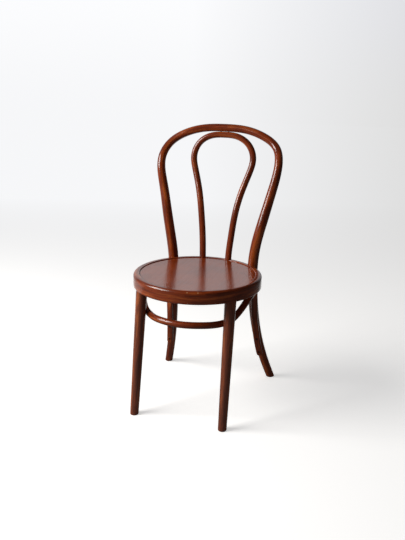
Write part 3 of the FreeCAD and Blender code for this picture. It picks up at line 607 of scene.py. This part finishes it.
def wood(name, chips=(), flecks=1.0, figure=1.0, gloss=0.16, mottle=0.0, depth=0.0, dust_and_sheen=0.0,
         worn_and_highlit_edge=None):
    """Stained and lacquered beech.

    Chips are places with a size, in metres. Flecks and figure are how much the small dark
    dashes and the broad grain show. Gloss is the lacquer's roughness and mottle how uneven
    it is. Depth darkens the stain. Dust greys it, partly as dust and partly as a painted
    reflection of the pale floor. A worn edge is how far from the rod's middle line, in
    metres, the stain is lighter: partly rubbed thin, partly a painted highlight on the edges.
    """
    material = bpy.data.materials.new(name)
    tree = Tree(material)
    timber = tree.add("Attribute", attribute_name="grain").outputs["Vector"]
    long_marks = tree.vector("MULTIPLY", timber, LONG_MARKS)
    broad_marks = tree.vector("MULTIPLY", timber, BROAD_MARKS)
    short_marks = tree.vector("MULTIPLY", timber, SHORT_MARKS)
    bands = tree.noise(long_marks, BANDS_SCALE, 3.0, 0.55, 0.6)
    broad = tree.noise(broad_marks, BROAD_SCALE, 2.0, 0.5, 0.4)
    fibres = tree.noise(long_marks, FIBRES_SCALE, 3.0, 0.6)
    dash = tree.ramp(tree.noise(short_marks, DASHES_SCALE, 2.0), 0.60, 0.72)
    small_dash = tree.ramp(tree.noise(short_marks, SMALL_DASHES_SCALE, 1.0), 0.60, 0.70)
    cloud = tree.noise(timber, CLOUD_SCALE, 2.0)

    # Each line lays one kind of mark over the stain: where its noise is strong, how much
    banded = tree.mix(tree.ramp(bands, 0.34, 0.66, smooth=False), STAIN_DARK, STAIN)
    shade = tree.mix(figure * 0.75, STAIN, banded)
    shade = tree.mix(tree.ramp(broad, 0.52, 0.66, 0.0, 0.55 * figure), shade, STAIN_LIGHT)
    shade = tree.mix(tree.ramp(broad, 0.46, 0.34, 0.0, 0.75 * figure), shade, STAIN_DARK)
    shade = tree.mix(tree.ramp(fibres, 0.45, 0.80, 0.0, 0.35), shade, STAIN_LIGHT)
    shade = tree.mix(tree.ramp(fibres, 0.20, 0.48, 0.40, 0.0), shade, STAIN_DARK)
    shade = tree.mix(tree.math("MULTIPLY", dash, 0.55 * flecks), shade, STAIN_DARK)
    shade = tree.mix(tree.math("MULTIPLY", small_dash, 0.35 * flecks), shade, STAIN_DARK)
    shade = tree.mix(tree.ramp(cloud, 0.35, 0.70, depth, depth + 0.30), shade, STAIN_DARK)
    # Dust, and a painted reflection of the pale floor: a grey haze mixed into the stain
    if dust_and_sheen:
        shade = tree.mix(dust_and_sheen, shade, DUST_AND_SHEEN)
    # The strip's edges painted lighter: partly stain rubbed thin, partly a painted highlight along
    # them
    if worn_and_highlit_edge:
        off_line = tree.vector("LENGTH", tree.vector("MULTIPLY", timber, ACROSS_ONLY))
        rubbed_and_highlit = tree.ramp(off_line, worn_and_highlit_edge, worn_and_highlit_edge + WORN_AND_HIGHLIT_RAMP, 0.0, 0.6)
        patchy = tree.math("MULTIPLY", rubbed_and_highlit, tree.ramp(fibres, 0.3, 0.6, 0.4, 1.0))
        shade = tree.mix(patchy, shade, BARE_WOOD_AND_HIGHLIGHT)

    rough = tree.ramp(bands, 0.2, 0.8, 0.34, 0.46)
    coat = 1.0
    if chips:
        bare = chips_mask(tree, chips)
        shade = tree.mix(bare, shade, BARE_WOOD_AND_HIGHLIGHT)
        rough = tree.math("ADD", rough, tree.math("MULTIPLY", bare, BARE_WOOD_ROUGHER))
        coat = tree.math("SUBTRACT", 1.0, bare)
    relief = tree.math(
        "ADD", tree.math("MULTIPLY", fibres, 0.5), tree.math("MULTIPLY", dash, -0.5))

    shader = tree.nodes["Principled BSDF"]
    tree.fill(shader, {
        "Base Color": shade, "Roughness": rough, "Specular IOR Level": WOOD_SPECULAR,
        "Normal": tree.bump(relief, FIBRE_RELIEF, FIBRE_RELIEF_STRENGTH),
        "Coat Weight": coat, "Coat Roughness": gloss, "Coat IOR": COAT_IOR})
    if mottle:
        unevenness = tree.noise(timber, MOTTLE_SCALE, 2.0, 0.6)
        tree.fill(shader, {"Coat Normal": tree.bump(unevenness, MOTTLE_RELIEF, mottle)})
    return material


METAL_WEAR_SCALE = 420.0
METAL_RELIEF = 0.00005


def metal(name, base, roughness):
    """Metal with darker, duller patches."""
    material = bpy.data.materials.new(name)
    tree = Tree(material)
    worn = tree.noise(tree.add("TexCoord").outputs["Object"], METAL_WEAR_SCALE, 3.0, 0.6)
    dull = colour(*(0.45 * part for part in base[:3]))
    tree.fill(tree.nodes["Principled BSDF"], {
        "Base Color": tree.mix(tree.ramp(worn, 0.35, 0.75), base, dull),
        "Metallic": 1.0,
        "Roughness": tree.ramp(worn, 0.3, 0.7, roughness, roughness + 0.2),
        "Normal": tree.bump(worn, METAL_RELIEF, 0.3)})
    return material


bent_wood = wood("bent_wood", chips=[(place(212.1, 197.5, 772.9), 0.0045)])
# The brace's edges are lighter: partly wear, partly a painted highlight
brace_wood = wood("brace_wood", worn_and_highlit_edge=0.0112)
rim_wood = wood("rim_wood", chips=[
    (place(36.2, -197.7, 432.5), 0.0024), (place(66.7, -189.6, 432.5), 0.0026),
    (place(75.0, -186.5, 433.0), 0.0016)])
# The legs' grey haze is partly dust and partly a painted reflection of the floor
leg_wood = wood("leg_wood", flecks=1.4, figure=1.2, gloss=0.22, dust_and_sheen=0.16)
panel_wood = wood("panel_wood", flecks=0.8, figure=0.1, gloss=0.15, mottle=2.0, depth=0.16)
dark_metal = metal("dark_metal", colour(0.045, 0.038, 0.034), 0.42)
steel = metal("steel", colour(0.46, 0.44, 0.41), 0.30)


# The bent rods

FULLER_BY = 2.4


def toward_front(centre):
    return (0.0, -1.0, 0.0)


def brace_width_way(centre):
    """Outward from the seat's middle ahead, and flat on the leg, turning with it, behind."""
    if centre[1] < BRACE_LEAVES_LEG:
        return (centre[0], centre[1], 0.0)
    turn = math.radians(tongue_turn(centre[2]))
    return (math.copysign(math.cos(turn), centre[0]), math.sin(turn), 0.0)


def fuller_front(route):
    """The brace with a thicker round run, which grows inward and downward, not to the legs."""
    out = []
    for x, y, z, width, thickness, fullness in route:
        share = (BRACE_HIGH - z) / (BRACE_HIGH - BRACE_LOW) if y < 0 else 0.0
        more = min(1.0, max(0.0, share)) * FULLER_BY
        inward = 1.0 - more / 2 / math.hypot(x, y)
        out.append(
            (x * inward, y * inward, z - more / 2, width + more, thickness + more, fullness))
    return out


back_bow, back_line = rod("back_bow_bent_rod", BACK_BOW_ROUTE, toward_front, 10)
end_at_floor(back_bow)
cut(back_bow, holes(BACK_BOW_HOLES))
finished(back_bow, "back_bow", bent_wood, rod_places(back_line))

inner_bow, inner_line = rod("inner_bow_bent_rod", INNER_BOW_ROUTE, toward_front, 9)
cut(inner_bow, holes(INNER_BOW_HOLES))
finished(inner_bow, "inner_bow", bent_wood,
         rod_places(inner_line, (0.3, 0.2, 1.7)))

brace, brace_line = rod("leg_brace_bent_rod", fuller_front(BRACE_ROUTE), brace_width_way, 9)
for vertex in brace.data.vertices:
    vertex.co.z = min(vertex.co.z, BRACE_TOP * MM)
cut(brace, tongue_ends() + holes(BRACE_HOLES))
finished(brace, "leg_brace", brace_wood,
         rod_places(brace_line, (0.0, 0.0, 4.1)))


# The seat's rim and panel

RIM_SEGMENTS = 256
NECK_LOW = 380.0
NECK_HIGH = 455.0
NECK_PLAY = 0.35

# Radius, and height from the seat's top: the lower edge, the side, the broad rounded upper
# edge, the inner lip, the well for the panel, the ledge under it and the inner wall
rim_outline = (
    [(168.6, -41.0)] + arc((198.0, -37.0), 4.0, -90, 0, 8)
    + [(202.0, -27.0), (202.0, -18.0)] + arc((193.0, -9.0), 9.0, 0, 90, 16)
    + [(189.0, 0.0)] + arc((184.8, -2.5), 2.5, 90, 180, 8)
    + [(182.3, -7.9)] + arc((181.7, -7.9), 0.6, 0, -90, 3)
    + [(168.6, -8.5)] + arc((168.6, -9.1), 0.6, 90, 180, 3) + [(168.0, -40.4)])
rim = turned(
    "seat_rim_bent", [(radius, SEAT + drop) for radius, drop in rim_outline], RIM_SEGMENTS)
necks = []
for sign in (1, -1):
    neck, _ = rod("cutter", BACK_BOW_ROUTE, toward_front, 12, growth=NECK_PLAY,
                  kept=lambda spot: NECK_LOW < spot[2] < NECK_HIGH and spot[0] * sign > 0)
    necks.append(neck)
cut(rim, necks + holes(RIM_HOLES))
finished(rim, "seat_ring", rim_wood, rim_places)

PANEL_SEGMENTS = 192
DISH = 3.0
TOP_RADIUS = 180.5
TOP_DROP = 5.5
TOP_STEPS = 40
UNDER_RADIUS = 167.7
UNDER_DROP = 11.5
UNDER_STEPS = 20
panel_under = [
    (UNDER_RADIUS * i / UNDER_STEPS, SEAT - UNDER_DROP + DISH * (i / UNDER_STEPS) ** 2)
    for i in range(UNDER_STEPS)]
panel_edge = [(UNDER_RADIUS, SEAT - 8.5), (181.6, SEAT - 8.5), (182.0, SEAT - 8.1)]
panel_edge += arc((TOP_RADIUS, SEAT - 4.0), 1.5, 0, 90, 6)
panel_top = [
    (TOP_RADIUS * i / TOP_STEPS, SEAT - TOP_DROP + DISH * (i / TOP_STEPS) ** 2)
    for i in reversed(range(TOP_STEPS))]
panel = turned("seat_panel_board", panel_under + panel_edge + panel_top, PANEL_SEGMENTS)
finished(panel, "seat_panel", panel_wood, panel_places)


# The front legs

LEG_FOOT = (145.32, -172.60)
LEG_TOP = (142.32, -112.80)
LEG_FOOT_DIAMETER = 26.5
LEG_TOP_DIAMETER = 35.5
LEG_SPAN = RIM_BOTTOM - 0.5
LEG_SEGMENTS = 48
LEG_RINGS = 70


def front_leg(side_name, sign):
    """A tapered leg from the floor into the rim, with its foot cut level."""
    foot = Vector((sign * LEG_FOOT[0], LEG_FOOT[1], 0.0))
    top = Vector((sign * LEG_TOP[0], LEG_TOP[1], RIM_BOTTOM))
    run = top - foot
    axis = run.normalized()
    side = axis.cross(Vector((0, 1, 0))).normalized()
    other = axis.cross(side)
    heights = [0.0] + [FOOT_CHAMFER + LEG_SPAN * i / LEG_RINGS for i in range(LEG_RINGS + 1)]
    vertices = []
    for height in heights:
        share = height / RIM_BOTTOM
        radius = (LEG_FOOT_DIAMETER + (LEG_TOP_DIAMETER - LEG_FOOT_DIAMETER) * share) / 2
        if height == 0.0:
            radius -= CHAMFER_WIDTH
        centre = foot + run * share
        for i in range(LEG_SEGMENTS):
            turn = 2 * math.pi * i / LEG_SEGMENTS
            spot = centre + (side * math.cos(turn) + other * math.sin(turn)) * radius
            slide = (height - spot.z) / axis.z
            vertices.append(place(*(spot + axis * slide)))
    faces = stacked_faces(len(heights), LEG_SEGMENTS)
    leg = new_piece("front_leg_turned_" + side_name, vertices, faces)
    finished(leg, "front_leg_" + side_name, leg_wood,
             leg_places(place(*foot), place(*top), (sign * 0.4, 0.9, 2.3 * sign)))


front_leg("left", -1)
front_leg("right", 1)


# The fasteners keep their CAD shapes and get finer materials

def repaint(node, material):
    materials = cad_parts[node].data.materials
    materials.clear()
    materials.append(material)


for node in ("brace_rear_screws", "brace_seat_screws", "brace_front_screws",
             "inner_bow_screws", "bow_crown_screws"):
    repaint(node, dark_metal)
for node in ("seat_bolts", "seat_bolt_washers", "seat_bolt_nuts"):
    repaint(node, steel)


# The room. Its wall and floor are laid out from the direction that the photograph looks in,
# as fixed directions in the scene.

PHOTO_AZIMUTH = 18.40
photo_turn = math.radians(PHOTO_AZIMUTH)
AHEAD = Vector((-math.sin(photo_turn), math.cos(photo_turn), 0.0))
RIGHTWARD = Vector((math.cos(photo_turn), math.sin(photo_turn), 0.0))
UPWARD = Vector((0.0, 0.0, 1.0))

WALL_LEFT = colour(0.925, 0.93, 0.945)
WALL_RIGHT = colour(0.74, 0.74, 0.74)
HIGH_WALL_LEFT = colour(0.98, 0.985, 1.0)
HIGH_WALL_RIGHT = colour(0.745, 0.75, 0.78)
BLACK = colour(0.0, 0.0, 0.0)
WALL_MIRRORED_DARKER = 0.29
ROOM_DARK = colour(0.022, 0.021, 0.020)
ROOM_LEFT = colour(0.15, 0.15, 0.155)
FILL_RIGHT = colour(0.075, 0.075, 0.078)
FILL_LEFT = colour(0.20, 0.20, 0.21)
FILL_BEHIND = colour(0.34, 0.34, 0.35)

FLOOR_HALF = 14.0
FLOOR_PAINT = colour(0.90, 0.895, 0.885)
FLOOR_GLOW = colour(0.98, 0.975, 0.965)
FLOOR_GLOW_STRENGTH = 0.50
FLOOR_SCATTER = colour(0.30, 0.29, 0.28)
FLOOR_MIRRORED_DIM = colour(0.17, 0.16, 0.15)


def make_floor():
    """A pale floor that goes over into the wall's colour far off.

    About half of the brightness that the camera sees is its own glow, which keeps the
    chair's shadow light. It lights the chair less than that, and the lacquer mirrors it
    bright only behind the chair.
    """
    mesh = bpy.data.meshes.new("floor")
    corners = [(x * FLOOR_HALF, y * FLOOR_HALF, 0) for x, y in ((-1, -1), (1, -1), (1, 1), (-1, 1))]
    mesh.from_pydata(corners, [], [(0, 1, 2, 3)])
    floor = bpy.data.objects.new("floor", mesh)
    scene.collection.objects.link(floor)
    material = bpy.data.materials.new("floor_white")
    tree = Tree(material)
    tree.nodes.remove(tree.nodes["Principled BSDF"])

    # Distances on the floor, in metres from the chair
    where = tree.add("TexCoord").outputs["Object"]
    nearer = tree.vector("DOT_PRODUCT", where, tuple(-AHEAD))
    rightward = tree.vector("DOT_PRODUCT", where, tuple(RIGHTWARD))
    around = tree.vector("DISTANCE", where, (0.0, 0.0, 0.0))

    behind = tree.ramp(nearer, -0.6, -3.6, smooth=False)
    far = tree.math("MAXIMUM", behind, tree.ramp(around, 2.4, 5.0))
    across = tree.math("DIVIDE", rightward, tree.math("ADD", around, 2.0))
    wall = tree.mix(tree.ramp(across, -0.02, 0.29, smooth=False), WALL_LEFT, WALL_RIGHT)
    paint = tree.add("BsdfDiffuse", {"Color": FLOOR_PAINT})
    glow = tree.add("Emission", {"Color": FLOOR_GLOW, "Strength": FLOOR_GLOW_STRENGTH})
    near_floor = tree.add("AddShader", {0: paint.outputs[0], 1: glow.outputs[0]})
    distant = tree.add("Emission", {"Color": wall, "Strength": 1.0})
    seen = tree.blend(far, near_floor.outputs[0], distant.outputs[0])

    scatter = tree.add("BsdfDiffuse", {"Color": FLOOR_SCATTER})
    dim = tree.add("BsdfDiffuse", {"Color": FLOOR_MIRRORED_DIM})
    in_front = tree.ramp(nearer, -0.75, -0.25)
    to_right = tree.ramp(rightward, 0.5, 1.1)
    to_left = tree.ramp(rightward, -0.4, -1.1, 0.0, 0.65)
    away = tree.math("MAXIMUM", tree.math("MAXIMUM", in_front, to_right), to_left)
    mirrored_floor = tree.blend(away, seen, dim.outputs[0])

    path = tree.add("LightPath").outputs
    lit_by_it = tree.blend(path["Is Glossy Ray"], scatter.outputs[0], mirrored_floor)
    direct = tree.math("MAXIMUM", path["Is Camera Ray"], path["Is Transmission Ray"])
    surface = tree.blend(direct, lit_by_it, seen)
    tree.fill(tree.nodes["Material Output"], {"Surface": surface})
    floor.data.materials.append(material)


make_floor()

world = bpy.data.worlds.new("studio")
scene.world = world
studio = Tree(world)
direction = studio.add("TexCoord").outputs["Generated"]


def facing(way):
    """The cosine of the angle between a way and the direction that a ray leaves in."""
    return studio.vector("DOT_PRODUCT", direction, tuple(way))


# What the camera sees: a pale wall, darker to the right and brighter above
right_side = studio.ramp(facing(RIGHTWARD), -0.02, 0.28, smooth=False)
wall_low = studio.mix(right_side, WALL_LEFT, WALL_RIGHT)
wall_high = studio.mix(right_side, HIGH_WALL_LEFT, HIGH_WALL_RIGHT)
wall_colour = studio.mix(studio.ramp(facing(UPWARD), -0.06, 0.14), wall_low, wall_high)

# What the lacquer mirrors: that wall, a little darker, behind the chair, and a dark room
left_side = studio.ramp(facing(-RIGHTWARD), 0.15, 0.85)
room_colour = studio.mix(left_side, ROOM_DARK, ROOM_LEFT)
mirrored_wall = studio.mix(WALL_MIRRORED_DARKER, wall_colour, BLACK)
behind_chair = studio.ramp(facing(AHEAD), 0.62, 0.93)
gloss_colour = studio.mix(behind_chair, room_colour, mirrored_wall)

# What lights the chair all round: more from the left and from behind it
from_left = studio.ramp(facing(-RIGHTWARD), -0.3, 0.9)
from_behind = studio.ramp(facing(AHEAD), 0.10, 0.75)
scatter = studio.mix(from_left, FILL_RIGHT, FILL_LEFT)
scatter = studio.mix(from_behind, scatter, FILL_BEHIND)

path = studio.add("LightPath").outputs
shown = studio.mix(path["Is Glossy Ray"], scatter, gloss_colour)
shown = studio.mix(path["Is Camera Ray"], shown, wall_colour)
studio.fill(studio.nodes["Background"], {"Color": shown, "Strength": 1.0})


def toward(azimuth, elevation):
    """The way from the chair at an azimuth from its front, to the right, and a height."""
    turn, rise = math.radians(azimuth), math.radians(elevation)
    return Vector((
        math.sin(turn) * math.cos(rise), -math.cos(turn) * math.cos(rise), math.sin(rise)))


# The window: a large soft light to the left, in front of the chair

WINDOW_AZIMUTH = -58.0
WINDOW_ELEVATION = 30.0
WINDOW_DISTANCE = 2.6
WINDOW_WIDTH = 1.5
WINDOW_HEIGHT = 1.3
WINDOW_POWER = 72.0
WINDOW_AIM = Vector((0.0, 0.0, 0.45))

light = bpy.data.lights.new("window_left", "AREA")
light.shape = "RECTANGLE"
light.size = WINDOW_WIDTH
light.size_y = WINDOW_HEIGHT
light.energy = WINDOW_POWER
light.color = (1.0, 0.985, 0.96)
lamp = bpy.data.objects.new("window_left", light)
scene.collection.objects.link(lamp)
to_window = toward(WINDOW_AZIMUTH, WINDOW_ELEVATION)
lamp.location = WINDOW_AIM + to_window * WINDOW_DISTANCE
lamp.rotation_euler = (-to_window).to_track_quat("-Z", "Y").to_euler()


# The camera, fitted to the photograph: a target on the chair, then back along the view

CAMERA_ELEVATION = 16.2765
CAMERA_ROLL = 1.034
CAMERA_DISTANCE = 2076.99
FOCAL_PIXELS = 659.35
PHOTO_HEIGHT = 540
SENSOR_HEIGHT = 24.0
TARGET_RIGHT = 15.145
TARGET_HEIGHT = 443.17

back = toward(PHOTO_AZIMUTH, CAMERA_ELEVATION)
up = back.cross(RIGHTWARD)
roll = math.radians(CAMERA_ROLL)
right_rolled = RIGHTWARD * math.cos(roll) + up * math.sin(roll)
up_rolled = up * math.cos(roll) - RIGHTWARD * math.sin(roll)
target = place(0, 0, 0) + RIGHTWARD * TARGET_RIGHT * MM + Vector((0, 0, TARGET_HEIGHT * MM))
camera_data = bpy.data.cameras.new("camera")
camera_data.sensor_fit = "VERTICAL"
camera_data.sensor_height = SENSOR_HEIGHT
camera_data.lens = FOCAL_PIXELS / PHOTO_HEIGHT * SENSOR_HEIGHT
camera = bpy.data.objects.new("camera", camera_data)
scene.collection.objects.link(camera)
axes = Matrix((right_rolled, up_rolled, back)).transposed().to_4x4()
camera.matrix_world = Matrix.Translation(target + back * CAMERA_DISTANCE * MM) @ axes
scene.camera = camera

scene.view_settings.view_transform = "Standard"
